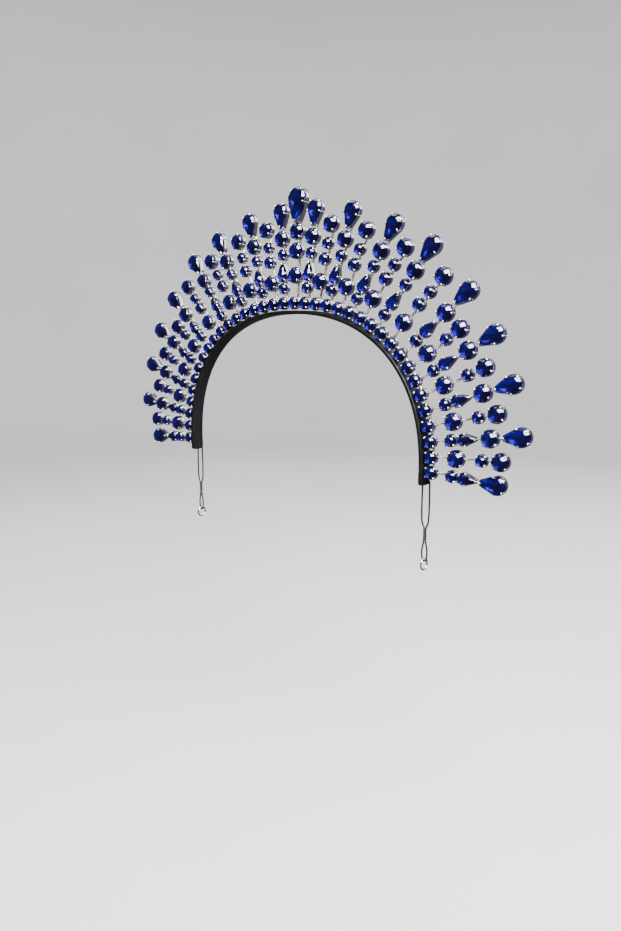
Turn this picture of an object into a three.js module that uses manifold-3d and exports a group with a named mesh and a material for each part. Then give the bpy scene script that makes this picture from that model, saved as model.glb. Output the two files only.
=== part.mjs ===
// Sunburst tiara: an arched headband, a row of set stones along it and rays of set stones all round.
// Millimetres. The front faces -Y, +Z is up, and right means +X, the right of someone facing the front.
// The origin is the crown of the headband's inner face, where the tiara sits on the head.
import * as THREE from 'three';
import { mergeVertices } from 'three/addons/utils/BufferGeometryUtils.js';
import Module from 'manifold-3d';

const wasm = await Module();
wasm.setup();

// The gap that separate pieces keep
const CLEARANCE = 0.3;

// Centre line of the base stones: half of a superellipse, with its legs at the ends
const ARCH_HALF_WIDTH = 88;
const ARCH_HEIGHT = 81;
const ARCH_POWER = 2.27;
const BASE_STONES_PER_SIDE = 18;

// Rays: equal turns from upright, a small lean to the back, and feet on the base stones.
// Over the shoulder rays the feet spread by one extra base stone, and the rays above it are splayed.
const RAYS_PER_SIDE = 17;
const RAY_TURN = THREE.MathUtils.degToRad(5.5);
const RAY_LEAN = THREE.MathUtils.degToRad(4);
const SHOULDER_FIRST_RAY = 6;
const SHOULDER_LAST_RAY = 9;
const SPLAYED_RAYS = [5, 6];
const SPLAY_TURN = THREE.MathUtils.degToRad(3);

// Sizes of the stones in their settings. The tip of a pear points out from the band (1) or in (-1).
const CUTS = {
  base: { width: 7, length: 7, depth: 5, tip: 0, tipRadius: 0 },
  small: { width: 6.4, length: 6.4, depth: 4.8, tip: 0, tipRadius: 0 },
  medium: { width: 7, length: 7, depth: 5, tip: 0, tipRadius: 0 },
  round: { width: 9, length: 9, depth: 5.8, tip: 0, tipRadius: 0 },
  slimPear: { width: 6.6, length: 10.4, depth: 5, tip: 1, tipRadius: 1.2 },
  bigPear: { width: 9.6, length: 14, depth: 6, tip: -1, tipRadius: 2 },
  giantPear: { width: 12.6, length: 18.8, depth: 7, tip: -1, tipRadius: 2.8 },
};
const TABLE_INSET = 0.16;
const QUARTER_SIDES = 4;

// Stones of each kind of ray, with the distance of each from the base stones' centre line
const STRINGS = {
  center: [
    { cut: 'round', at: 14.3 },
    { cut: 'round', at: 27 },
    { cut: 'round', at: 37 },
    { cut: 'giantPear', at: 50.4 },
  ],
  upperLong: [
    { cut: 'small', at: 7.8 },
    { cut: 'slimPear', at: 16.2 },
    { cut: 'small', at: 25.7 },
    { cut: 'round', at: 34 },
    { cut: 'bigPear', at: 46 },
  ],
  upperShort: [
    { cut: 'round', at: 11.4 },
    { cut: 'medium', at: 23 },
    { cut: 'small', at: 31 },
    { cut: 'round', at: 40.6 },
  ],
  lowerLong: [
    { cut: 'small', at: 10.2 },
    { cut: 'slimPear', at: 18.8 },
    { cut: 'round', at: 30.2 },
    { cut: 'bigPear', at: 43 },
  ],
  lowerShort: [
    { cut: 'round', at: 12.7 },
    { cut: 'small', at: 25.5 },
    { cut: 'round', at: 34.8 },
  ],
  end: [
    { cut: 'small', at: 10.4 },
    { cut: 'slimPear', at: 18.8 },
    { cut: 'bigPear', at: 31.4 },
  ],
  shortest: [
    { cut: 'round', at: 11.6 },
    { cut: 'small', at: 23.2 },
    { cut: 'round', at: 31.6 },
  ],
};
const LAST_UPPER_RAY = 8;
const SHORTEST_RAY = 10;

// Silver strips behind the settings, which the settings are soldered into by the bite
const STRIP_WIDTH = 1.2;
const STRIP_DEPTH = 1.2;
const STRIP_BITE = 0.2;

// The rays' feet stand off the base row's strip by this gap, outward and to the back
const FOOT_GAP = 0.4;
const RAY_FOOT = STRIP_WIDTH / 2 + FOOT_GAP;
const RAY_SETBACK = STRIP_BITE + FOOT_GAP;

// Headband: a flat band under the base row, with a tab at each end that is pierced near its back edge
const BAND_THICKNESS = 2;
const BAND_WIDTH = 8;
const BAND_BACK = 3.4;
const BAND_EDGE = 0.5;
const BAND_STEPS = 44;
const BAND_OUTER = CUTS.base.width / 2 + CLEARANCE;
const BAND_INNER = BAND_OUTER + BAND_THICKNESS;
const BAND_MIDDLE = (BAND_OUTER + BAND_INNER) / 2;
const TAB_SHRINK = 0.1;
const TAB_OVERLAP = 0.8;
const TAB_DROP = 6.8;
const TAB_CORNER = 1.6;
const HOLE_RADIUS = 1.1;
const HOLE_DROP = 4.4;
const HOLE_BACK = 2.2;

// End loops: thin wire through the tab's hole, twisted together at a neck above a small eye
const WIRE_RADIUS = 0.45;
const WIRE_SIDES = 6;
const LOOP_HALF_WIDTH = 2;
const LOOP_BEND_DROP = 2;
const LOOP_TAPER = 5;
const LOOP_STEPS = 32;
const PAIR_HALF_WIDTH = 0.55;
const NECK_RADIUS = 1.05;
const NECK_SIDES = 8;
const NECK_TOP_DROP = 29;
const NECK_LENGTH = 6.5;
const NECK_GRIP = 0.6;
const EYE_LENGTH = 10.8;
const EYE_HALF_WIDTH = 1.5;
const EYE_STEPS = 14;

// End rings
const RING_RADIUS = 2.8;
const RING_WIRE_RADIUS = 0.45;
const RING_SIDES = 14;

const SEAT_HEIGHT = ARCH_HEIGHT - BAND_INNER;
const FRONT_UP = Math.PI / 2;

// The stones' centre line, moved outward by a distance, in the tiara's frame
class Arch extends THREE.Curve {
  constructor(outward = 0) {
    super();
    this.outward = outward;
  }

  getPoint(t, target = new THREE.Vector3()) {
    const angle = (t - 0.5) * Math.PI;
    const side = Math.sign(angle);
    const sine = Math.abs(Math.sin(angle));
    const cosine = Math.abs(Math.cos(angle));
    const slope = 2 - 2 / ARCH_POWER;
    const normal = new THREE.Vector2(side * sine ** slope / ARCH_HALF_WIDTH, cosine ** slope / ARCH_HEIGHT);
    normal.setLength(this.outward);
    const x = side * ARCH_HALF_WIDTH * sine ** (2 / ARCH_POWER);
    const z = ARCH_HEIGHT * cosine ** (2 / ARCH_POWER) - SEAT_HEIGHT;
    return target.set(x + normal.x, 0, z + normal.y);
  }
}

const baseArch = new Arch();

// Place and outward turn of the arch at a number of base stones from the middle
function archAt(stones) {
  const along = 0.5 + stones / (2 * BASE_STONES_PER_SIDE);
  const tangent = baseArch.getTangentAt(along);
  return { point: baseArch.getPointAt(along), turn: Math.atan2(-tangent.z, tangent.x) };
}

// A closed geometry as a solid that can be joined and cut
function solid(geometry) {
  const bare = geometry.clone();
  bare.deleteAttribute('normal');
  bare.deleteAttribute('uv');
  const merged = mergeVertices(bare);
  const vertProperties = Float32Array.from(merged.attributes.position.array);
  const triVerts = Uint32Array.from(merged.index.array);
  return new wasm.Manifold(new wasm.Mesh({ numProp: 3, vertProperties, triVerts }));
}

function geometryOf(manifold) {
  const { vertProperties, triVerts } = manifold.getMesh();
  const geometry = new THREE.BufferGeometry();
  geometry.setAttribute('position', new THREE.BufferAttribute(vertProperties, 3));
  geometry.setIndex(new THREE.BufferAttribute(triVerts, 1));
  geometry.computeVertexNormals();
  return geometry;
}

function fuse(geometries) {
  const [first, ...others] = geometries.map(solid);
  return geometryOf(others.reduce((joined, other) => joined.add(other), first));
}

// Outline of a set stone: a circle, or an arc that runs in straight lines to a blunt tip
function stoneOutline({ width, length, tip, tipRadius }) {
  const radius = width / 2;
  const outline = new THREE.Shape();
  if (tip === 0) {
    return outline.absarc(0, 0, radius, 0, 2 * Math.PI);
  }
  const opening = Math.acos((radius - tipRadius) / (length - radius - tipRadius));
  const tipTurn = tip * Math.PI / 2;
  const arcCenter = tip * (radius - length / 2);
  const tipCenter = tip * (length / 2 - tipRadius);
  outline.absarc(0, arcCenter, radius, tipTurn + opening, tipTurn + 2 * Math.PI - opening);
  for (const turn of [tipTurn - opening, tipTurn, tipTurn + opening]) {
    outline.lineTo(tipRadius * Math.cos(turn), tipCenter + tipRadius * Math.sin(turn));
  }
  return outline;
}

// A set stone with its back on z = 0 and its front along +z: two slopes, the facets that lead up to a flat
// table and the tapered cup behind them, meet at the outline halfway
function setStone(cut) {
  const inset = TABLE_INSET * cut.width;
  const stone = new THREE.ExtrudeGeometry(stoneOutline(cut), {
    depth: 0,
    bevelThickness: cut.depth / 2,
    bevelSize: inset,
    bevelOffset: -inset,
    bevelSegments: 1,
    curveSegments: QUARTER_SIDES,
  });
  return stone.translate(0, 0, cut.depth / 2);
}

// A ray along +y from its foot, with its stones facing +z on a strip behind them
function rayGeometry(string) {
  const tipAt = string.at(-1).at;
  const strip = new THREE.BoxGeometry(STRIP_WIDTH, tipAt - RAY_FOOT, STRIP_DEPTH);
  strip.translate(0, (tipAt + RAY_FOOT) / 2, STRIP_BITE - STRIP_DEPTH / 2);
  const stones = string.map(({ cut, at }) => setStone(CUTS[cut]).translate(0, at, 0));
  return fuse([strip, ...stones]);
}

// An outline swept along the arch: its x runs to the front and its y to the inside
function archSweep(outline, arch, steps) {
  return new THREE.ExtrudeGeometry(outline, { extrudePath: arch, steps, bevelEnabled: false });
}

function rectangle(left, right, bottom, top, corner) {
  const outline = new THREE.Shape();
  outline.moveTo(left + corner, bottom);
  outline.lineTo(right - corner, bottom);
  outline.lineTo(right, bottom + corner);
  outline.lineTo(right, top - corner);
  outline.lineTo(right - corner, top);
  outline.lineTo(left + corner, top);
  outline.lineTo(left, top - corner);
  outline.lineTo(left, bottom + corner);
  return outline;
}

function baseRowGeometry() {
  const half = STRIP_WIDTH / 2;
  const section = new THREE.Shape();
  section.moveTo(STRIP_BITE - STRIP_DEPTH, -half);
  section.lineTo(STRIP_BITE, -half);
  section.lineTo(STRIP_BITE, half);
  section.lineTo(STRIP_BITE - STRIP_DEPTH, half);
  const pieces = [archSweep(section, baseArch, 2 * BASE_STONES_PER_SIDE)];
  for (let index = -BASE_STONES_PER_SIDE; index <= BASE_STONES_PER_SIDE; index += 1) {
    const { point, turn } = archAt(index);
    const stone = setStone(CUTS.base).rotateX(FRONT_UP).rotateY(turn);
    pieces.push(stone.translate(point.x, point.y, point.z));
  }
  return fuse(pieces);
}

// Middle of the band's thickness at the foot of its right leg
const BAND_END = new THREE.Vector3(ARCH_HALF_WIDTH - BAND_MIDDLE, BAND_BACK - BAND_WIDTH / 2, -SEAT_HEIGHT);

function headbandGeometry() {
  const half = BAND_THICKNESS / 2;
  const section = rectangle(-BAND_BACK, BAND_WIDTH - BAND_BACK, -half, half, BAND_EDGE);
  const band = archSweep(section, new Arch(-BAND_MIDDLE), BAND_STEPS);
  const tabHalf = BAND_WIDTH / 2 - TAB_SHRINK;
  const tabThickness = BAND_THICKNESS - 2 * TAB_SHRINK;
  const outline = rectangle(-tabHalf, tabHalf, -TAB_DROP, TAB_OVERLAP, TAB_CORNER);
  outline.holes.push(new THREE.Path().absarc(HOLE_BACK, -HOLE_DROP, HOLE_RADIUS, 0, 2 * Math.PI));
  const tabs = [1, -1].map((side) => {
    const tab = new THREE.ExtrudeGeometry(outline, {
      depth: tabThickness,
      bevelEnabled: false,
      curveSegments: QUARTER_SIDES,
    });
    tab.translate(0, 0, -tabThickness / 2).rotateX(Math.PI / 2).rotateZ(Math.PI / 2);
    return tab.translate(side * BAND_END.x, BAND_END.y, BAND_END.z);
  });
  return fuse([band, ...tabs]);
}

function wireAlong(points, steps) {
  const wire = new THREE.Shape();
  for (let side = 0; side < WIRE_SIDES; side += 1) {
    const angle = 2 * Math.PI * side / WIRE_SIDES;
    const corner = [WIRE_RADIUS * Math.cos(angle), WIRE_RADIUS * Math.sin(angle)];
    if (side === 0) {
      wire.moveTo(...corner);
    } else {
      wire.lineTo(...corner);
    }
  }
  const path = new THREE.CatmullRomCurve3(points);
  return new THREE.ExtrudeGeometry(wire, { extrudePath: path, steps, bevelEnabled: false });
}

// The right half of a path as rows of x and z, made whole by its mirror image
function mirrored(rightHalf) {
  const right = rightHalf.map(([x, z]) => new THREE.Vector3(x, 0, z));
  const left = rightHalf.filter(([x]) => x > 0).map(([x, z]) => new THREE.Vector3(-x, 0, z));
  return [...right, ...left.reverse()];
}

const LOOP_TOP = CLEARANCE + WIRE_RADIUS - HOLE_RADIUS - HOLE_DROP;
const NECK_BOTTOM = -NECK_TOP_DROP - NECK_LENGTH;
const EYE_BOTTOM = NECK_BOTTOM - EYE_LENGTH + WIRE_RADIUS;

// A loop hanging in its tab, measured from the band's end straight above the hole
function endLoopGeometry() {
  const bow = wireAlong(mirrored([
    [PAIR_HALF_WIDTH, -NECK_TOP_DROP - NECK_GRIP],
    [PAIR_HALF_WIDTH, -NECK_TOP_DROP + NECK_GRIP],
    [LOOP_HALF_WIDTH, -NECK_TOP_DROP + LOOP_TAPER],
    [LOOP_HALF_WIDTH, LOOP_TOP - LOOP_BEND_DROP],
    [LOOP_HALF_WIDTH - WIRE_RADIUS, LOOP_TOP - WIRE_RADIUS],
    [BAND_THICKNESS / 2 - TAB_SHRINK, LOOP_TOP],
    [0, LOOP_TOP],
  ]), LOOP_STEPS);
  const neck = new THREE.CylinderGeometry(NECK_RADIUS, NECK_RADIUS, NECK_LENGTH, NECK_SIDES);
  neck.rotateX(Math.PI / 2).translate(0, 0, NECK_BOTTOM + NECK_LENGTH / 2);
  const eye = wireAlong(mirrored([
    [PAIR_HALF_WIDTH, NECK_BOTTOM + NECK_GRIP],
    [EYE_HALF_WIDTH, NECK_BOTTOM - EYE_LENGTH / 2],
    [EYE_HALF_WIDTH - WIRE_RADIUS, EYE_BOTTOM + 2 * WIRE_RADIUS],
    [0, EYE_BOTTOM],
  ]), EYE_STEPS);
  return fuse([bow, neck, eye]);
}

// A ring hanging in the eye of its loop, across it
function endRingGeometry() {
  const drop = RING_RADIUS - RING_WIRE_RADIUS - WIRE_RADIUS - CLEARANCE;
  const ring = new THREE.TorusGeometry(RING_RADIUS, RING_WIRE_RADIUS, WIRE_SIDES, RING_SIDES);
  return ring.rotateY(Math.PI / 2).translate(0, 0, EYE_BOTTOM - drop);
}

const tiara = new THREE.Group();

const FINISHES = {
  stone: { color: 0x10207a, roughness: 0.08, metalness: 0.1 },
  silver: { color: 0xc8cad0, roughness: 0.25, metalness: 1 },
  black: { color: 0x141416, roughness: 0.45, metalness: 0.3 },
};

function addPiece(name, geometry, finish) {
  const piece = new THREE.Mesh(geometry, new THREE.MeshStandardMaterial(FINISHES[finish]));
  piece.name = name;
  tiara.add(piece);
  return piece;
}

function addRay(name, geometry, side, number) {
  const spread = (number - SHOULDER_FIRST_RAY) / (SHOULDER_LAST_RAY - SHOULDER_FIRST_RAY);
  const { point } = archAt(side * (number + THREE.MathUtils.clamp(spread, 0, 1)));
  const ray = addPiece(name, geometry, 'stone');
  ray.position.set(point.x, RAY_SETBACK, point.z);
  const splay = SPLAYED_RAYS.includes(number) ? SPLAY_TURN : 0;
  ray.rotation.set(FRONT_UP - RAY_LEAN, side * (number * RAY_TURN + splay), 0, 'YXZ');
}

function stringOf(number) {
  if (number === RAYS_PER_SIDE) {
    return 'end';
  }
  if (number === SHORTEST_RAY) {
    return 'shortest';
  }
  const level = number <= LAST_UPPER_RAY ? 'upper' : 'lower';
  return level + (number % 2 === 1 ? 'Long' : 'Short');
}

const rayShapes = {};
for (const [kind, string] of Object.entries(STRINGS)) {
  rayShapes[kind] = rayGeometry(string);
}

const SIDES = { right: 1, left: -1 };

addPiece('headband', headbandGeometry(), 'black');
addPiece('base_row', baseRowGeometry(), 'stone');
addRay('ray_center', rayShapes.center, 1, 0);
const endLoop = endLoopGeometry();
const endRing = endRingGeometry();
for (const [sideName, side] of Object.entries(SIDES)) {
  for (let number = 1; number <= RAYS_PER_SIDE; number += 1) {
    const label = String(number).padStart(2, '0');
    addRay(`ray_${sideName}_${label}`, rayShapes[stringOf(number)], side, number);
  }
  const loop = addPiece(`end_loop_${sideName}`, endLoop, 'black');
  const ring = addPiece(`end_ring_${sideName}`, endRing, 'silver');
  for (const hanging of [loop, ring]) {
    hanging.position.set(side * BAND_END.x, BAND_END.y + HOLE_BACK, BAND_END.z);
  }
}

export default tiara;
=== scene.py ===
"""Looks of the sunburst tiara: faceted blue stones in claw settings on silver wire, a satin black band and
twisted wire loops at its ends. Metres, in the part's own frame: the front faces -Y and +Z is up."""
import bisect
import math
import random

import bmesh
import bpy
from mathutils import Matrix, Vector


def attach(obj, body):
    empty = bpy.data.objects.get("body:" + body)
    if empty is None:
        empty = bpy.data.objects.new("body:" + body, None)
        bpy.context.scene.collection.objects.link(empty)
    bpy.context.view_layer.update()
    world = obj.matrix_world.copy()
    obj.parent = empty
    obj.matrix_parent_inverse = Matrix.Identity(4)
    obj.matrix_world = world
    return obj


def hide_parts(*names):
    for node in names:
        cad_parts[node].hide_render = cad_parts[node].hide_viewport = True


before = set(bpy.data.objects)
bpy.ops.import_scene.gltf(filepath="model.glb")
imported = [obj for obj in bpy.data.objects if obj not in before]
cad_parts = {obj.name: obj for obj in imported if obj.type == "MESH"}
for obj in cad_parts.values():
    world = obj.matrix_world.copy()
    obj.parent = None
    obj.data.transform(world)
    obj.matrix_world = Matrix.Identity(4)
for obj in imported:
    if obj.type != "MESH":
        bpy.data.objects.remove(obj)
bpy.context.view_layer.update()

BODY = "root"
AS_DRAWN = Matrix.Identity(4)
UP = Vector((0, 0, 1))
SIDES = {"right": 1, "left": -1}

# Material numbers on the stones' meshes and on the settings' meshes
GLASS = 0
FOIL = 1
CUP_METAL = 0
WIRE_METAL = 1

# The gap that separate pieces keep
CLEARANCE = 0.0003

# Edges that turn by more than this stay sharp on a smooth surface
SHARP_ANGLE = math.radians(32)

# Centre line of the base stones, half of a superellipse
ARCH_HALF_WIDTH = 0.088
ARCH_HEIGHT = 0.081
ARCH_POWER = 2.27
BASE_STONES_PER_SIDE = 18
ARC_SAMPLES = 2000

# Rays: equal turns from upright, a lean to the back, and feet that spread by one stone over the shoulder.
# Two rays at the top of the shoulder are splayed.
RAYS_PER_SIDE = 17
LAST_UPPER_RAY = 8
SHORTEST_RAY = 10
RAY_TURN = math.radians(5.5)
RAY_LEAN = math.radians(4)
SHOULDER_FIRST_RAY = 6
SHOULDER_LAST_RAY = 9
SPLAYED_RAYS = [5, 6]
SPLAY_TURN = math.radians(3)
RAY_FOOT = 0.001
RAY_SETBACK = 0.0006

# Stones in their settings. A pear's tip points out from the band (1) or in (-1).
CUTS = {
    "base": {"width": 0.0070, "length": 0.0070, "depth": 0.0050, "tip": 0, "tip_radius": 0.0},
    "small": {"width": 0.0064, "length": 0.0064, "depth": 0.0048, "tip": 0, "tip_radius": 0.0},
    "medium": {"width": 0.0070, "length": 0.0070, "depth": 0.0050, "tip": 0, "tip_radius": 0.0},
    "round": {"width": 0.0090, "length": 0.0090, "depth": 0.0058, "tip": 0, "tip_radius": 0.0},
    "slim_pear": {"width": 0.0066, "length": 0.0104, "depth": 0.0050, "tip": 1, "tip_radius": 0.0012},
    "big_pear": {"width": 0.0096, "length": 0.0140, "depth": 0.0060, "tip": -1, "tip_radius": 0.0020},
    "giant_pear": {"width": 0.0126, "length": 0.0188, "depth": 0.0070, "tip": -1, "tip_radius": 0.0028},
}

# Stones of each kind of ray: cut, and distance from the base stones' centre line
STRINGS = {
    "center": [("round", 0.0143), ("round", 0.0270), ("round", 0.0370), ("giant_pear", 0.0504)],
    "upper_long": [
        ("small", 0.0078), ("slim_pear", 0.0162), ("small", 0.0257), ("round", 0.0340), ("big_pear", 0.0460),
    ],
    "upper_short": [("round", 0.0114), ("medium", 0.0230), ("small", 0.0310), ("round", 0.0406)],
    "lower_long": [("small", 0.0102), ("slim_pear", 0.0188), ("round", 0.0302), ("big_pear", 0.0430)],
    "lower_short": [("round", 0.0127), ("small", 0.0255), ("round", 0.0348)],
    "end": [("small", 0.0104), ("slim_pear", 0.0188), ("big_pear", 0.0314)],
    "shortest": [("round", 0.0116), ("small", 0.0232), ("round", 0.0316)],
}

# Facets, as shares of the setting's outline and of its depth
OUTLINE_SAMPLES = 720
MAIN_FACETS = 8
GIRDLE = 0.92
TABLE = 0.60
CROWN_MIDDLE = 0.82
PAVILION_MIDDLE = 0.45
CULET_HEIGHT = 0.16
PAVILION_MIDDLE_HEIGHT = 0.34
GIRDLE_BOTTOM = 0.60
GIRDLE_TOP = 0.66
TABLE_HEIGHT = 0.98
TILT_SPREAD = math.radians(2.5)
TILT_SEED = 7

# Claw cups, in the same shares. A claw's path is pairs of outline share and depth share.
CUP_SIDES = 24
CUP_BACK = 0.88
CUP_FOOT = 0.96
CUP_FOOT_HEIGHT = 0.10
CUP_RIM = 0.99
CUP_WALL = 0.07
CUP_FLOOR = 0.05
CUP_RIM_LOW = 0.44
CUP_RIM_RISE = 0.12
CLAW_RISE_WIDTH = math.radians(24)
CLAW_PATH = [(0.96, 0.10), (0.99, 0.44), (1.0, 0.60), (0.97, 0.71), (0.88, 0.77)]
ROUND_CLAWS = [math.radians(turn) for turn in (45, 135, 225, 315)]
PEAR_CLAWS = [math.radians(turn) for turn in (0, 68, 140, 220, 292)]

# Claws in metres, with a bead at each tip
CLAW_HALF_WIDTH = 0.00036
CLAW_HALF_THICKNESS = 0.00018
CLAW_SIDES = 8
CLAW_STEPS = 3
CLAW_BEAD = 0.00052
BEAD_SIDES = 10
BEAD_ROWS = 6

# Silver wire behind the settings
WIRE_RADIUS = 0.0006
WIRE_CENTER = -0.0004
WIRE_SIDES = 12

# Headband and the pierced tabs at its ends
BAND_OUTER = 0.0038
BAND_THICKNESS = 0.002
BAND_WIDTH = 0.008
BAND_BACK = 0.0034
BAND_EDGE = 0.0006
BAND_STEPS = 160
CORNER_STEPS = 4
TAB_DROP = 0.0068
TAB_CORNER = 0.0016
TAB_SHRINK = 0.0001
TAB_OVERLAP = 0.0008
HOLE_RADIUS = 0.0011
HOLE_DROP = 0.0044
HOLE_BACK = 0.0022
BAND_INNER = BAND_OUTER + BAND_THICKNESS
BAND_MIDDLE = BAND_OUTER + BAND_THICKNESS / 2
SEAT_HEIGHT = ARCH_HEIGHT - BAND_INNER
BAND_END = Vector((ARCH_HALF_WIDTH - BAND_MIDDLE, BAND_BACK - BAND_WIDTH / 2, -SEAT_HEIGHT))

# End loops, measured from the end of the band's leg. The neck has a half turn more than whole turns, so
# that its two strands change sides.
LOOP_WIRE_RADIUS = 0.00045
LOOP_HALF_WIDTH = 0.002
LOOP_BEND_DROP = 0.002
LOOP_TAPER = 0.005
LOOP_TOP = -(HOLE_DROP + HOLE_RADIUS - LOOP_WIRE_RADIUS - CLEARANCE)
NECK_TOP = -0.029
NECK_LENGTH = 0.0065
NECK_BOTTOM = NECK_TOP - NECK_LENGTH
NECK_TURNS = 2.5
NECK_STEPS = 36
PAIR_HALF_WIDTH = 0.0005
EYE_LENGTH = 0.0108
EYE_HALF_WIDTH = 0.0015
EYE_BOTTOM = NECK_BOTTOM - EYE_LENGTH + LOOP_WIRE_RADIUS
LOOP_STEPS = 10
ROUND_SIDES = 12

# Rings in the loops' eyes
RING_RADIUS = 0.0028
RING_WIRE_RADIUS = 0.00045
RING_STEPS = 48
RING_DROP = RING_RADIUS - RING_WIRE_RADIUS - LOOP_WIRE_RADIUS - CLEARANCE

# Looks: fixed shader values, and noises that move an input between a low and a high value. A bump follows
# the first noise.
LOOKS = {
    "blue_glass": {
        "fixed": {"IOR": 1.68, "Roughness": 0.015, "Transmission Weight": 1.0},
        "noises": [
            {
                "input": "Base Color",
                "scale": 60,
                "low": (0.010, 0.0025, 0.064, 1),
                "high": (0.018, 0.004, 0.118, 1),
            },
        ],
    },
    "blue_foil": {
        "fixed": {"Metallic": 1.0, "Roughness": 0.29},
        "noises": [
            {
                "input": "Base Color",
                "scale": 220,
                "low": (0.18, 0.03, 0.52, 1),
                "high": (0.28, 0.07, 0.98, 1),
            },
        ],
    },
    "silver": {
        "fixed": {"Base Color": (0.86, 0.87, 0.89, 1), "Metallic": 1.0},
        "noises": [{"input": "Roughness", "scale": 900, "low": 0.10, "high": 0.24}],
        "bump": {"Strength": 0.15, "Distance": 0.00004},
    },
    "silver_wire": {
        "fixed": {"Base Color": (0.88, 0.86, 0.82, 1), "Metallic": 1.0},
        "noises": [{"input": "Roughness", "scale": 900, "low": 0.20, "high": 0.34}],
        "bump": {"Strength": 0.15, "Distance": 0.00004},
    },
    "band_black": {
        "fixed": {"Specular IOR Level": 0.2},
        "noises": [
            {
                "input": "Base Color",
                "scale": 700,
                "low": (0.003, 0.003, 0.004, 1),
                "high": (0.007, 0.007, 0.008, 1),
            },
            {"input": "Roughness", "scale": 90, "low": 0.26, "high": 0.42},
        ],
        "bump": {"Strength": 0.2, "Distance": 0.00005},
    },
    "dark_wire": {
        "fixed": {"Metallic": 0.7},
        "noises": [
            {
                "input": "Base Color",
                "scale": 500,
                "low": (0.018, 0.015, 0.012, 1),
                "high": (0.05, 0.043, 0.034, 1),
            },
            {"input": "Roughness", "scale": 300, "low": 0.28, "high": 0.45},
        ],
        "bump": {"Strength": 0.2, "Distance": 0.00005},
    },
    "pale_floor": {
        "fixed": {"Roughness": 0.7, "Specular IOR Level": 0.2},
        "noises": [{"input": "Base Color", "scale": 3, "low": 0.50, "high": 0.53}],
    },
}
NOISE_DETAIL = 4.0
NOISE_LOW = 0.3
NOISE_HIGH = 0.7

# Camera: the photo's viewing angle and framing
IMAGE_LONG_SIDE_PX = 931
FOCAL_PX = 772
SENSOR_MM = 36
CLIP_START = 0.01
CAMERA_PLACE = Vector((0.2822, -0.3145, -0.0036))
CAMERA_AZIMUTH = math.radians(40.9)
CAMERA_ELEVATION = math.radians(10.6)

# Stage: a round floor that sweeps up into a wall all round
FLOOR_HEIGHT = -0.33
FLOOR_RADIUS = 1.6
FLOOR_SIDES = 72
SWEEP_RADIUS = 1.0
SWEEP_STEPS = 20
WALL_HEIGHT = 3.2

# Lights: soft panels that face a target
LIGHTS = [
    {"name": "key_softbox", "place": (0.78, -0.32, 0.85), "target": (0, 0, 0), "size": 0.9, "power": 130},
    {"name": "rim_softbox", "place": (0.20, 0.90, 0.60), "target": (0, 0, 0), "size": 0.78, "power": 4},
    {"name": "top_soft", "place": (-0.4, 0.6, 1.6), "target": (-0.2, 0.4, 0), "size": 1.6, "power": 34},
]
WORLD_STRENGTH = 0.10

dice = random.Random(TILT_SEED)


class Shell:
    """Points and faces gathered for one mesh, each face with a material number and a smooth mark."""

    def __init__(self):
        self.points = []
        self.faces = []
        self.numbers = []
        self.smooth = []

    def add_points(self, points, place):
        start = len(self.points)
        self.points.extend(place @ Vector(point) for point in points)
        return start

    def add_faces(self, start, faces, number=0, smooth=False):
        self.faces.extend([start + corner for corner in face] for face in faces)
        self.numbers.extend([number] * len(faces))
        self.smooth.extend([smooth] * len(faces))

    def add(self, points, faces, number=0, smooth=False, place=AS_DRAWN):
        self.add_faces(self.add_points(points, place), faces, number, smooth)

    def mesh(self, name, materials):
        mesh = bpy.data.meshes.new(name)
        mesh.from_pydata(self.points, [], self.faces)
        mesh.polygons.foreach_set("material_index", self.numbers)
        mesh.polygons.foreach_set("use_smooth", self.smooth)
        for material in materials:
            mesh.materials.append(material)
        work = bmesh.new()
        work.from_mesh(mesh)
        bmesh.ops.recalc_face_normals(work, faces=work.faces)
        work.to_mesh(mesh)
        work.free()
        mesh.set_sharp_from_angle(angle=SHARP_ANGLE)
        return mesh


def add_piece(name, mesh, node, place=AS_DRAWN):
    piece = bpy.data.objects.new(name, mesh)
    piece.matrix_world = place
    bpy.context.scene.collection.objects.link(piece)
    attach(piece, BODY)
    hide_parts(node)


# The arch

def arch_point(angle, outward=0.0):
    side = math.copysign(1.0, angle)
    sine = abs(math.sin(angle))
    cosine = abs(math.cos(angle))
    slope = 2 - 2 / ARCH_POWER
    normal = Vector((side * sine ** slope / ARCH_HALF_WIDTH, 0, cosine ** slope / ARCH_HEIGHT)).normalized()
    x = side * ARCH_HALF_WIDTH * sine ** (2 / ARCH_POWER)
    z = ARCH_HEIGHT * cosine ** (2 / ARCH_POWER) - SEAT_HEIGHT
    return Vector((x, 0, z)) + outward * normal


def running_lengths(points):
    """Length along a line of points, at each of them."""
    lengths = [0.0]
    for before, after in zip(points, points[1:]):
        lengths.append(lengths[-1] + (after - before).length)
    return lengths


ARC_ANGLES = [math.pi * (step / ARC_SAMPLES - 0.5) for step in range(ARC_SAMPLES + 1)]
ARC_LENGTHS = running_lengths([arch_point(angle) for angle in ARC_ANGLES])


def arch_angle(stones):
    """Angle of the arch at a number of base stones from the middle."""
    length = (0.5 + stones / (2 * BASE_STONES_PER_SIDE)) * ARC_LENGTHS[-1]
    after = min(max(bisect.bisect_left(ARC_LENGTHS, length), 1), ARC_SAMPLES)
    span = ARC_LENGTHS[after] - ARC_LENGTHS[after - 1]
    share = (length - ARC_LENGTHS[after - 1]) / span
    return ARC_ANGLES[after - 1] + share * (ARC_ANGLES[after] - ARC_ANGLES[after - 1])


def evenly(steps, outward=0.0):
    """Points at even steps along the arch, moved outward."""
    stones = [BASE_STONES_PER_SIDE * (2 * step / steps - 1) for step in range(steps + 1)]
    return [arch_point(arch_angle(number), outward) for number in stones]


# Sections and tubes

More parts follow.
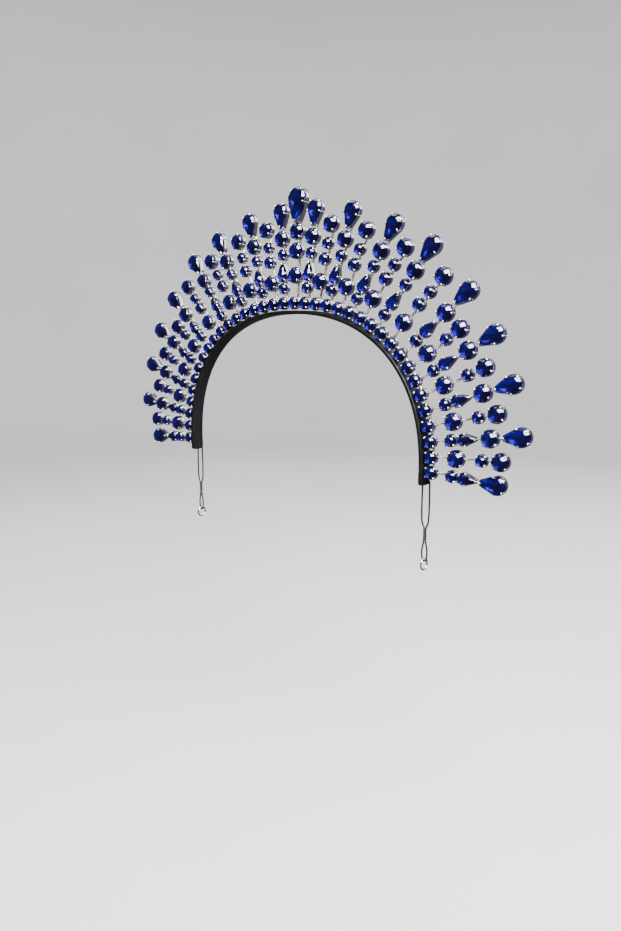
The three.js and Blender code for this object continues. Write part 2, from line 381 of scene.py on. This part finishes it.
def ellipse(half_width, half_depth, sides):
    turns = [2 * math.pi * side / sides for side in range(sides)]
    return [(half_width * math.cos(turn), half_depth * math.sin(turn)) for turn in turns]


def rounded_rectangle(half_width, half_height, corner):
    points = []
    for quarter in range(4):
        x = (half_width - corner) * (1 if quarter in (0, 3) else -1)
        y = (half_height - corner) * (1 if quarter in (0, 1) else -1)
        for step in range(CORNER_STEPS + 1):
            turn = (quarter + step / CORNER_STEPS) * math.pi / 2
            points.append((x + corner * math.cos(turn), y + corner * math.sin(turn)))
    return points


def bridge(rows, ring, closed=False):
    """Faces between rows of ring points each, and from the last row to the first where they are closed."""
    faces = []
    for row in range(rows if closed else rows - 1):
        here = row * ring
        there = (row + 1) % rows * ring
        for corner in range(ring):
            following = (corner + 1) % ring
            faces.append([here + corner, here + following, there + following, there + corner])
    return faces


def add_tube(shell, path, section, side, closed=False, number=0, place=AS_DRAWN):
    """Sweeps a section along a path. Its x starts along side, and turns as little as the path allows."""
    count = len(path)
    points = []
    for index, point in enumerate(path):
        before = path[index - 1] if index > 0 or closed else point
        after = path[(index + 1) % count] if index < count - 1 or closed else point
        tangent = (after - before).normalized()
        side = (side - side.dot(tangent) * tangent).normalized()
        lift = tangent.cross(side)
        points.extend(point + x * side + y * lift for x, y in section)
    ring = len(section)
    shell.add(points, bridge(count, ring, closed), number, smooth=True, place=place)
    if not closed:
        shell.add(points[:ring], [list(range(ring))], number, place=place)
        shell.add(points[-ring:], [list(range(ring))], number, place=place)


def smooth_path(corners, steps):
    """A smooth curve through corner points, each stretch bending like its neighbours."""
    ends = [2 * corners[0] - corners[1]] + corners + [2 * corners[-1] - corners[-2]]
    path = []
    for first, start, end, last in zip(ends, ends[1:], ends[2:], ends[3:]):
        for step in range(steps):
            t = step / steps
            bend = (end - first) * t + (2 * first - 5 * start + 4 * end - last) * t ** 2
            path.append(start + 0.5 * (bend + (3 * start - first - 3 * end + last) * t ** 3))
    return path + [corners[-1]]


# Set stones, facing +z with their ray along +y and their backs on z = 0

def reach(cut, turn):
    """Distance from the round end's centre to the outline, at a turn from the tip."""
    radius = cut["width"] / 2
    if cut["tip"] == 0:
        return radius
    turn = abs((turn + math.pi) % (2 * math.pi) - math.pi)
    tip_radius = cut["tip_radius"]
    apart = cut["length"] - radius - tip_radius
    opening = math.acos((radius - tip_radius) / apart)
    tip_turn = math.atan2(tip_radius * math.sin(opening), apart + tip_radius * math.cos(opening))
    if turn >= opening:
        return radius
    if turn >= tip_turn:
        return radius / math.cos(opening - turn)
    return apart * math.cos(turn) + math.sqrt(tip_radius ** 2 - (apart * math.sin(turn)) ** 2)


def outline_point(cut, turn, share, height):
    """A point at a turn from the tip, at shares of the outline's reach and of the depth."""
    tip = cut["tip"]
    far = share * reach(cut, turn)
    center = tip * (cut["width"] - cut["length"]) / 2
    y = center + far * math.cos(turn) * (tip if tip else 1)
    return Vector((far * math.sin(turn), y, height * cut["depth"]))


def even_turns(cut, count, offset=0.0):
    """Turns of points spaced evenly along the outline, counted from the tip."""
    fine = [2 * math.pi * step / OUTLINE_SAMPLES for step in range(OUTLINE_SAMPLES + 1)]
    lengths = running_lengths([outline_point(cut, turn, 1, 0) for turn in fine])
    wanted = [lengths[-1] * (step + offset) / count for step in range(count)]
    return [fine[bisect.bisect_left(lengths, length)] for length in wanted]


def outline_ring(cut, count, share, height, offset=0.0):
    return [outline_point(cut, turn, share, height) for turn in even_turns(cut, count, offset)]


def add_stone(shell, cut, place):
    """A brilliant-cut stone: glass facets in front of the girdle and foil-backed ones behind it."""
    mains = MAIN_FACETS
    inner = CROWN_MIDDLE * math.cos(math.pi / mains)
    rise = 1 - (inner - TABLE) / (1 - TABLE)
    middle_height = GIRDLE_TOP + rise * (TABLE_HEIGHT - GIRDLE_TOP)
    rings = [
        outline_ring(cut, mains, GIRDLE * TABLE, TABLE_HEIGHT),
        outline_ring(cut, mains, GIRDLE * CROWN_MIDDLE, middle_height, 0.5),
        outline_ring(cut, 2 * mains, GIRDLE, GIRDLE_TOP),
        outline_ring(cut, 2 * mains, GIRDLE, GIRDLE_BOTTOM),
        outline_ring(cut, mains, GIRDLE * PAVILION_MIDDLE, PAVILION_MIDDLE_HEIGHT, 0.5),
        [outline_point(cut, 0, 0, CULET_HEIGHT)],
    ]
    starts = [sum(len(ring) for ring in rings[:row]) for row in range(len(rings))]
    table, crown, top, bottom, pavilion, culet = starts
    front = [[table + step for step in range(mains)]]
    back = []
    for step in range(mains):
        following = (step + 1) % mains
        previous = (step - 1) % mains
        left = 2 * step
        middle = 2 * step + 1
        right = 2 * following
        front.append([table + step, table + following, crown + step])
        front.append([table + step, crown + step, top + left, crown + previous])
        front.append([crown + step, top + middle, top + left])
        front.append([crown + step, top + right, top + middle])
        front.append([top + left, top + middle, bottom + middle, bottom + left])
        front.append([top + middle, top + right, bottom + right, bottom + middle])
        back.append([pavilion + step, bottom + left, bottom + middle])
        back.append([pavilion + step, bottom + middle, bottom + right])
        back.append([bottom + left, pavilion + step, culet, pavilion + previous])
    start = shell.add_points([point for ring in rings for point in ring], place)
    shell.add_faces(start, front, GLASS)
    shell.add_faces(start, back, FOIL)


def claw_turns(cut):
    return PEAR_CLAWS if cut["tip"] else ROUND_CLAWS


def rim_height(cut, turn):
    """Height of the cup's rim, which rises into each claw."""
    nearest = min(abs((turn - claw + math.pi) % (2 * math.pi) - math.pi) for claw in claw_turns(cut))
    return CUP_RIM_LOW + CUP_RIM_RISE * math.exp(-(nearest / CLAW_RISE_WIDTH) ** 2)


def add_cup(shell, cut, place):
    """The thin cup behind a stone, with a scalloped rim."""
    turns = even_turns(cut, CUP_SIDES)
    rings = [
        [outline_point(cut, turn, CUP_BACK, 0.0) for turn in turns],
        [outline_point(cut, turn, CUP_FOOT, CUP_FOOT_HEIGHT) for turn in turns],
        [outline_point(cut, turn, CUP_RIM, rim_height(cut, turn)) for turn in turns],
        [outline_point(cut, turn, CUP_RIM - CUP_WALL, rim_height(cut, turn)) for turn in turns],
        [outline_point(cut, turn, CUP_BACK - CUP_WALL, CUP_FLOOR) for turn in turns],
    ]
    points = [point for ring in rings for point in ring]
    last = len(points) - CUP_SIDES
    caps = [list(range(CUP_SIDES)), list(range(last, len(points)))]
    shell.add(points, bridge(len(rings), CUP_SIDES) + caps, CUP_METAL, smooth=True, place=place)


def add_bead(shell, center, radius, place):
    """A small ball: its two poles, then rows of points between them."""
    points = [center + radius * UP, center - radius * UP]
    first = len(points)
    for row in range(1, BEAD_ROWS):
        down = math.pi * row / BEAD_ROWS
        across = radius * math.sin(down)
        for x, y in ellipse(across, across, BEAD_SIDES):
            points.append(center + Vector((x, y, radius * math.cos(down))))
    last = len(points) - BEAD_SIDES
    faces = [[first + corner for corner in face] for face in bridge(BEAD_ROWS - 1, BEAD_SIDES)]
    for side in range(BEAD_SIDES):
        following = (side + 1) % BEAD_SIDES
        faces.append([0, first + side, first + following])
        faces.append([1, last + following, last + side])
    shell.add(points, faces, CUP_METAL, smooth=True, place=place)


def add_claws(shell, cut, place):
    section = ellipse(CLAW_HALF_WIDTH, CLAW_HALF_THICKNESS, CLAW_SIDES)
    for turn in claw_turns(cut):
        path = [outline_point(cut, turn, share, height) for share, height in CLAW_PATH]
        along = (path[1] - path[0]).cross(UP).normalized()
        add_tube(shell, smooth_path(path, CLAW_STEPS), section, along, number=CUP_METAL, place=place)
        add_bead(shell, path[-1], CLAW_BEAD, place)


def add_set_stone(stones, metal, cut_name, place):
    cut = CUTS[cut_name]
    tilt = Matrix.Rotation(dice.uniform(-TILT_SPREAD, TILT_SPREAD), 4, "X")
    tilt = tilt @ Matrix.Rotation(dice.uniform(-TILT_SPREAD, TILT_SPREAD), 4, "Y")
    add_stone(stones, cut, place @ tilt)
    add_cup(metal, cut, place)
    add_claws(metal, cut, place)


def add_wire(shell, path, side):
    section = ellipse(WIRE_RADIUS, WIRE_RADIUS, WIRE_SIDES)
    add_tube(shell, path, section, side, number=WIRE_METAL)


# Materials

def set_values(node, values):
    for name, value in values.items():
        node.inputs[name].default_value = value


def as_color(value):
    return value if isinstance(value, tuple) else (value, value, value, 1)


def add_noise(tree, row, shader):
    """A noise in object space that moves one input of the shader between its low and its high value."""
    place = tree.nodes.new("ShaderNodeTexCoord")
    noise = tree.nodes.new("ShaderNodeTexNoise")
    set_values(noise, {"Scale": row["scale"], "Detail": NOISE_DETAIL})
    ramp = tree.nodes.new("ShaderNodeValToRGB")
    low, high = ramp.color_ramp.elements
    low.position = NOISE_LOW
    low.color = as_color(row["low"])
    high.position = NOISE_HIGH
    high.color = as_color(row["high"])
    tree.links.new(place.outputs["Object"], noise.inputs["Vector"])
    tree.links.new(noise.outputs["Fac"], ramp.inputs["Fac"])
    tree.links.new(ramp.outputs["Color"], shader.inputs[row["input"]])
    return noise


def new_material(name):
    look = LOOKS[name]
    material = bpy.data.materials.new(name)
    material.use_nodes = True
    tree = material.node_tree
    shader = tree.nodes["Principled BSDF"]
    set_values(shader, look["fixed"])
    noises = [add_noise(tree, row, shader) for row in look["noises"]]
    if "bump" in look:
        bump = tree.nodes.new("ShaderNodeBump")
        set_values(bump, look["bump"])
        tree.links.new(noises[0].outputs["Fac"], bump.inputs["Height"])
        tree.links.new(bump.outputs["Normal"], shader.inputs["Normal"])
    return material


STONE_LOOKS = [new_material("blue_glass"), new_material("blue_foil")]
SILVER_LOOKS = [new_material("silver"), new_material("silver_wire")]


# Rays

def string_of(number):
    if number == 0:
        return "center"
    if number == RAYS_PER_SIDE:
        return "end"
    if number == SHORTEST_RAY:
        return "shortest"
    level = "upper" if number <= LAST_UPPER_RAY else "lower"
    return level + ("_long" if number % 2 else "_short")


def ray_meshes(kind):
    """The stones and the metal of one kind of ray, along +y from its foot and facing +z."""
    stones = Shell()
    metal = Shell()
    for cut_name, distance in STRINGS[kind]:
        add_set_stone(stones, metal, cut_name, Matrix.Translation((0, distance, 0)))
    tip = STRINGS[kind][-1][1]
    path = [Vector((0, RAY_FOOT, WIRE_CENTER)), Vector((0, tip, WIRE_CENTER))]
    add_wire(metal, path, Vector((1, 0, 0)))
    return stones.mesh(kind + "_stones", STONE_LOOKS), metal.mesh(kind + "_metal", SILVER_LOOKS)


def ray_place(side, number):
    spread = (number - SHOULDER_FIRST_RAY) / (SHOULDER_LAST_RAY - SHOULDER_FIRST_RAY)
    foot = arch_point(arch_angle(side * (number + min(max(spread, 0), 1))))
    foot.y = RAY_SETBACK
    splay = SPLAY_TURN if number in SPLAYED_RAYS else 0
    turn = Matrix.Rotation(side * (number * RAY_TURN + splay), 4, "Y")
    stand = Matrix.Rotation(math.pi / 2 - RAY_LEAN, 4, "X")
    return Matrix.Translation(foot) @ turn @ stand


def build_rays():
    meshes = {kind: ray_meshes(kind) for kind in STRINGS}
    rays = [("ray_center", 1, 0)]
    for side_name, side in SIDES.items():
        for number in range(1, RAYS_PER_SIDE + 1):
            rays.append((f"ray_{side_name}_{number:02d}", side, number))
    for name, side, number in rays:
        stones, metal = meshes[string_of(number)]
        place = ray_place(side, number)
        add_piece(name + ".stones", stones, name, place)
        add_piece(name + ".settings", metal, name, place)


# Base row and headband

def build_base_row():
    stones = Shell()
    metal = Shell()
    for number in range(-BASE_STONES_PER_SIDE, BASE_STONES_PER_SIDE + 1):
        angle = arch_angle(number)
        point = arch_point(angle)
        outward = arch_point(angle, 1.0) - point
        turn = Matrix.Rotation(math.atan2(outward.x, outward.z), 4, "Y")
        place = Matrix.Translation(point) @ turn @ Matrix.Rotation(math.pi / 2, 4, "X")
        add_set_stone(stones, metal, "base", place)
    path = [point - Vector((0, WIRE_CENTER, 0)) for point in evenly(BAND_STEPS)]
    add_wire(metal, path, Vector((0, 1, 0)))
    add_piece("base_row.stones", stones.mesh("base_row_stones", STONE_LOOKS), "base_row")
    add_piece("base_row.settings", metal.mesh("base_row_settings", SILVER_LOOKS), "base_row")


def add_tab(shell, side):
    """The pierced tab at the end of a leg: two pierced faces joined round the rim and round the hole."""
    half = BAND_WIDTH / 2 - TAB_SHRINK
    tall = (TAB_DROP + TAB_OVERLAP) / 2
    outer = [(y, z + tall - TAB_DROP) for y, z in rounded_rectangle(half, tall, TAB_CORNER)]
    hole = []
    for y, z in outer:
        turn = math.atan2(z + HOLE_DROP, y - HOLE_BACK)
        hole.append((HOLE_BACK + HOLE_RADIUS * math.cos(turn), HOLE_RADIUS * math.sin(turn) - HOLE_DROP))
    thick = BAND_THICKNESS / 2 - TAB_SHRINK
    rings = [(outer, -thick), (outer, thick), (hole, thick), (hole, -thick)]
    points = [Vector((x, y, z)) for ring, x in rings for y, z in ring]
    place = Matrix.Translation((side * BAND_END.x, BAND_END.y, BAND_END.z))
    shell.add(points, bridge(len(rings), len(outer), closed=True), place=place)


def build_headband():
    shell = Shell()
    section = rounded_rectangle(BAND_WIDTH / 2, BAND_THICKNESS / 2, BAND_EDGE)
    path = [point + Vector((0, BAND_END.y, 0)) for point in evenly(BAND_STEPS, -BAND_MIDDLE)]
    add_tube(shell, path, section, Vector((0, 1, 0)))
    for side in SIDES.values():
        add_tab(shell, side)
    mesh = shell.mesh("headband", [new_material("band_black")])
    add_piece("headband.satin", mesh, "headband")


# End loops and rings

def mirrored(points):
    return [Vector((-point.x, point.y, point.z)) for point in reversed(points)]


def neck_strand(start):
    """One strand of the twisted neck from the top down, starting on the right (1) or on the left (-1)."""
    strand = []
    for step in range(1, NECK_STEPS):
        share = step / NECK_STEPS
        turn = 2 * math.pi * NECK_TURNS * share
        x = start * PAIR_HALF_WIDTH
        strand.append(Vector((x * math.cos(turn), x * math.sin(turn), NECK_TOP - NECK_LENGTH * share)))
    return strand


def end_loop_path():
    """One wire: up a strand, through the tab's hole, down the other, and twice through the twisted neck."""
    right = [
        Vector((PAIR_HALF_WIDTH, 0, NECK_TOP)),
        Vector((LOOP_HALF_WIDTH, 0, NECK_TOP + LOOP_TAPER)),
        Vector((LOOP_HALF_WIDTH, 0, LOOP_TOP - LOOP_BEND_DROP)),
        Vector((LOOP_HALF_WIDTH - LOOP_WIRE_RADIUS, 0, LOOP_TOP - LOOP_WIRE_RADIUS)),
        Vector((BAND_THICKNESS / 2 - TAB_SHRINK, 0, LOOP_TOP)),
    ]
    bow = smooth_path(right + [Vector((0, 0, LOOP_TOP))] + mirrored(right), LOOP_STEPS)
    eye_right = [
        Vector((PAIR_HALF_WIDTH, 0, NECK_BOTTOM)),
        Vector((EYE_HALF_WIDTH, 0, NECK_BOTTOM - EYE_LENGTH / 2)),
        Vector((EYE_HALF_WIDTH - LOOP_WIRE_RADIUS, 0, EYE_BOTTOM + 2 * LOOP_WIRE_RADIUS)),
    ]
    eye = smooth_path(eye_right + [Vector((0, 0, EYE_BOTTOM))] + mirrored(eye_right), LOOP_STEPS)
    return bow + neck_strand(-1) + eye + list(reversed(neck_strand(1)))


def ring_path():
    middle = EYE_BOTTOM - RING_DROP
    circle = ellipse(RING_RADIUS, RING_RADIUS, RING_STEPS)
    return [Vector((0, y, middle + z)) for y, z in circle]


def wire_mesh(name, path, radius, side, looks):
    shell = Shell()
    add_tube(shell, path, ellipse(radius, radius, ROUND_SIDES), side, closed=True)
    return shell.mesh(name, looks)


def build_end_loops():
    loop_looks = [new_material("dark_wire")]
    loop = wire_mesh("end_loop", end_loop_path(), LOOP_WIRE_RADIUS, Vector((0, 1, 0)), loop_looks)
    ring = wire_mesh("end_ring", ring_path(), RING_WIRE_RADIUS, Vector((1, 0, 0)), SILVER_LOOKS)
    for side_name, side in SIDES.items():
        place = Matrix.Translation((side * BAND_END.x, BAND_END.y + HOLE_BACK, BAND_END.z))
        add_piece(f"end_loop_{side_name}.twisted", loop, f"end_loop_{side_name}", place)
        add_piece(f"end_ring_{side_name}.polished", ring, f"end_ring_{side_name}", place)


# Stage, light and camera

def build_floor():
    profile = []
    for step in range(SWEEP_STEPS + 1):
        turn = step / SWEEP_STEPS * math.pi / 2
        profile.append((FLOOR_RADIUS + SWEEP_RADIUS * math.sin(turn), SWEEP_RADIUS * (1 - math.cos(turn))))
    profile.append((FLOOR_RADIUS + SWEEP_RADIUS, WALL_HEIGHT))
    points = []
    for radius, height in profile:
        circle = ellipse(radius, radius, FLOOR_SIDES)
        points.extend(Vector((x, y, FLOOR_HEIGHT + height)) for x, y in circle)
    shell = Shell()
    shell.add(points, [list(range(FLOOR_SIDES))] + bridge(len(profile), FLOOR_SIDES), smooth=True)
    floor = bpy.data.objects.new("floor", shell.mesh("floor", [new_material("pale_floor")]))
    bpy.context.scene.collection.objects.link(floor)
    floor.visible_glossy = False


def build_lights():
    for row in LIGHTS:
        light = bpy.data.lights.new(row["name"], "AREA")
        light.size = row["size"]
        light.energy = row["power"]
        lamp = bpy.data.objects.new(row["name"], light)
        lamp.visible_camera = False
        lamp.location = row["place"]
        facing = Vector(row["target"]) - Vector(row["place"])
        lamp.rotation_euler = facing.to_track_quat("-Z", "Y").to_euler()
        bpy.context.scene.collection.objects.link(lamp)
    world = bpy.data.worlds.new("studio")
    world.use_nodes = True
    set_values(world.node_tree.nodes["Background"], {"Color": as_color(1.0), "Strength": WORLD_STRENGTH})
    bpy.context.scene.world = world


def build_camera():
    data = bpy.data.cameras.new("photo_view")
    data.sensor_width = SENSOR_MM
    data.lens = FOCAL_PX / IMAGE_LONG_SIDE_PX * SENSOR_MM
    data.clip_start = CLIP_START
    camera = bpy.data.objects.new("photo_view", data)
    level = math.cos(CAMERA_ELEVATION)
    back = Vector((
        math.sin(CAMERA_AZIMUTH) * level,
        -math.cos(CAMERA_AZIMUTH) * level,
        math.sin(CAMERA_ELEVATION),
    ))
    camera.location = CAMERA_PLACE
    camera.rotation_euler = (-back).to_track_quat("-Z", "Y").to_euler()
    bpy.context.scene.collection.objects.link(camera)
    bpy.context.scene.camera = camera


build_camera()
build_rays()
build_base_row()
build_headband()
build_end_loops()
build_floor()
build_lights()
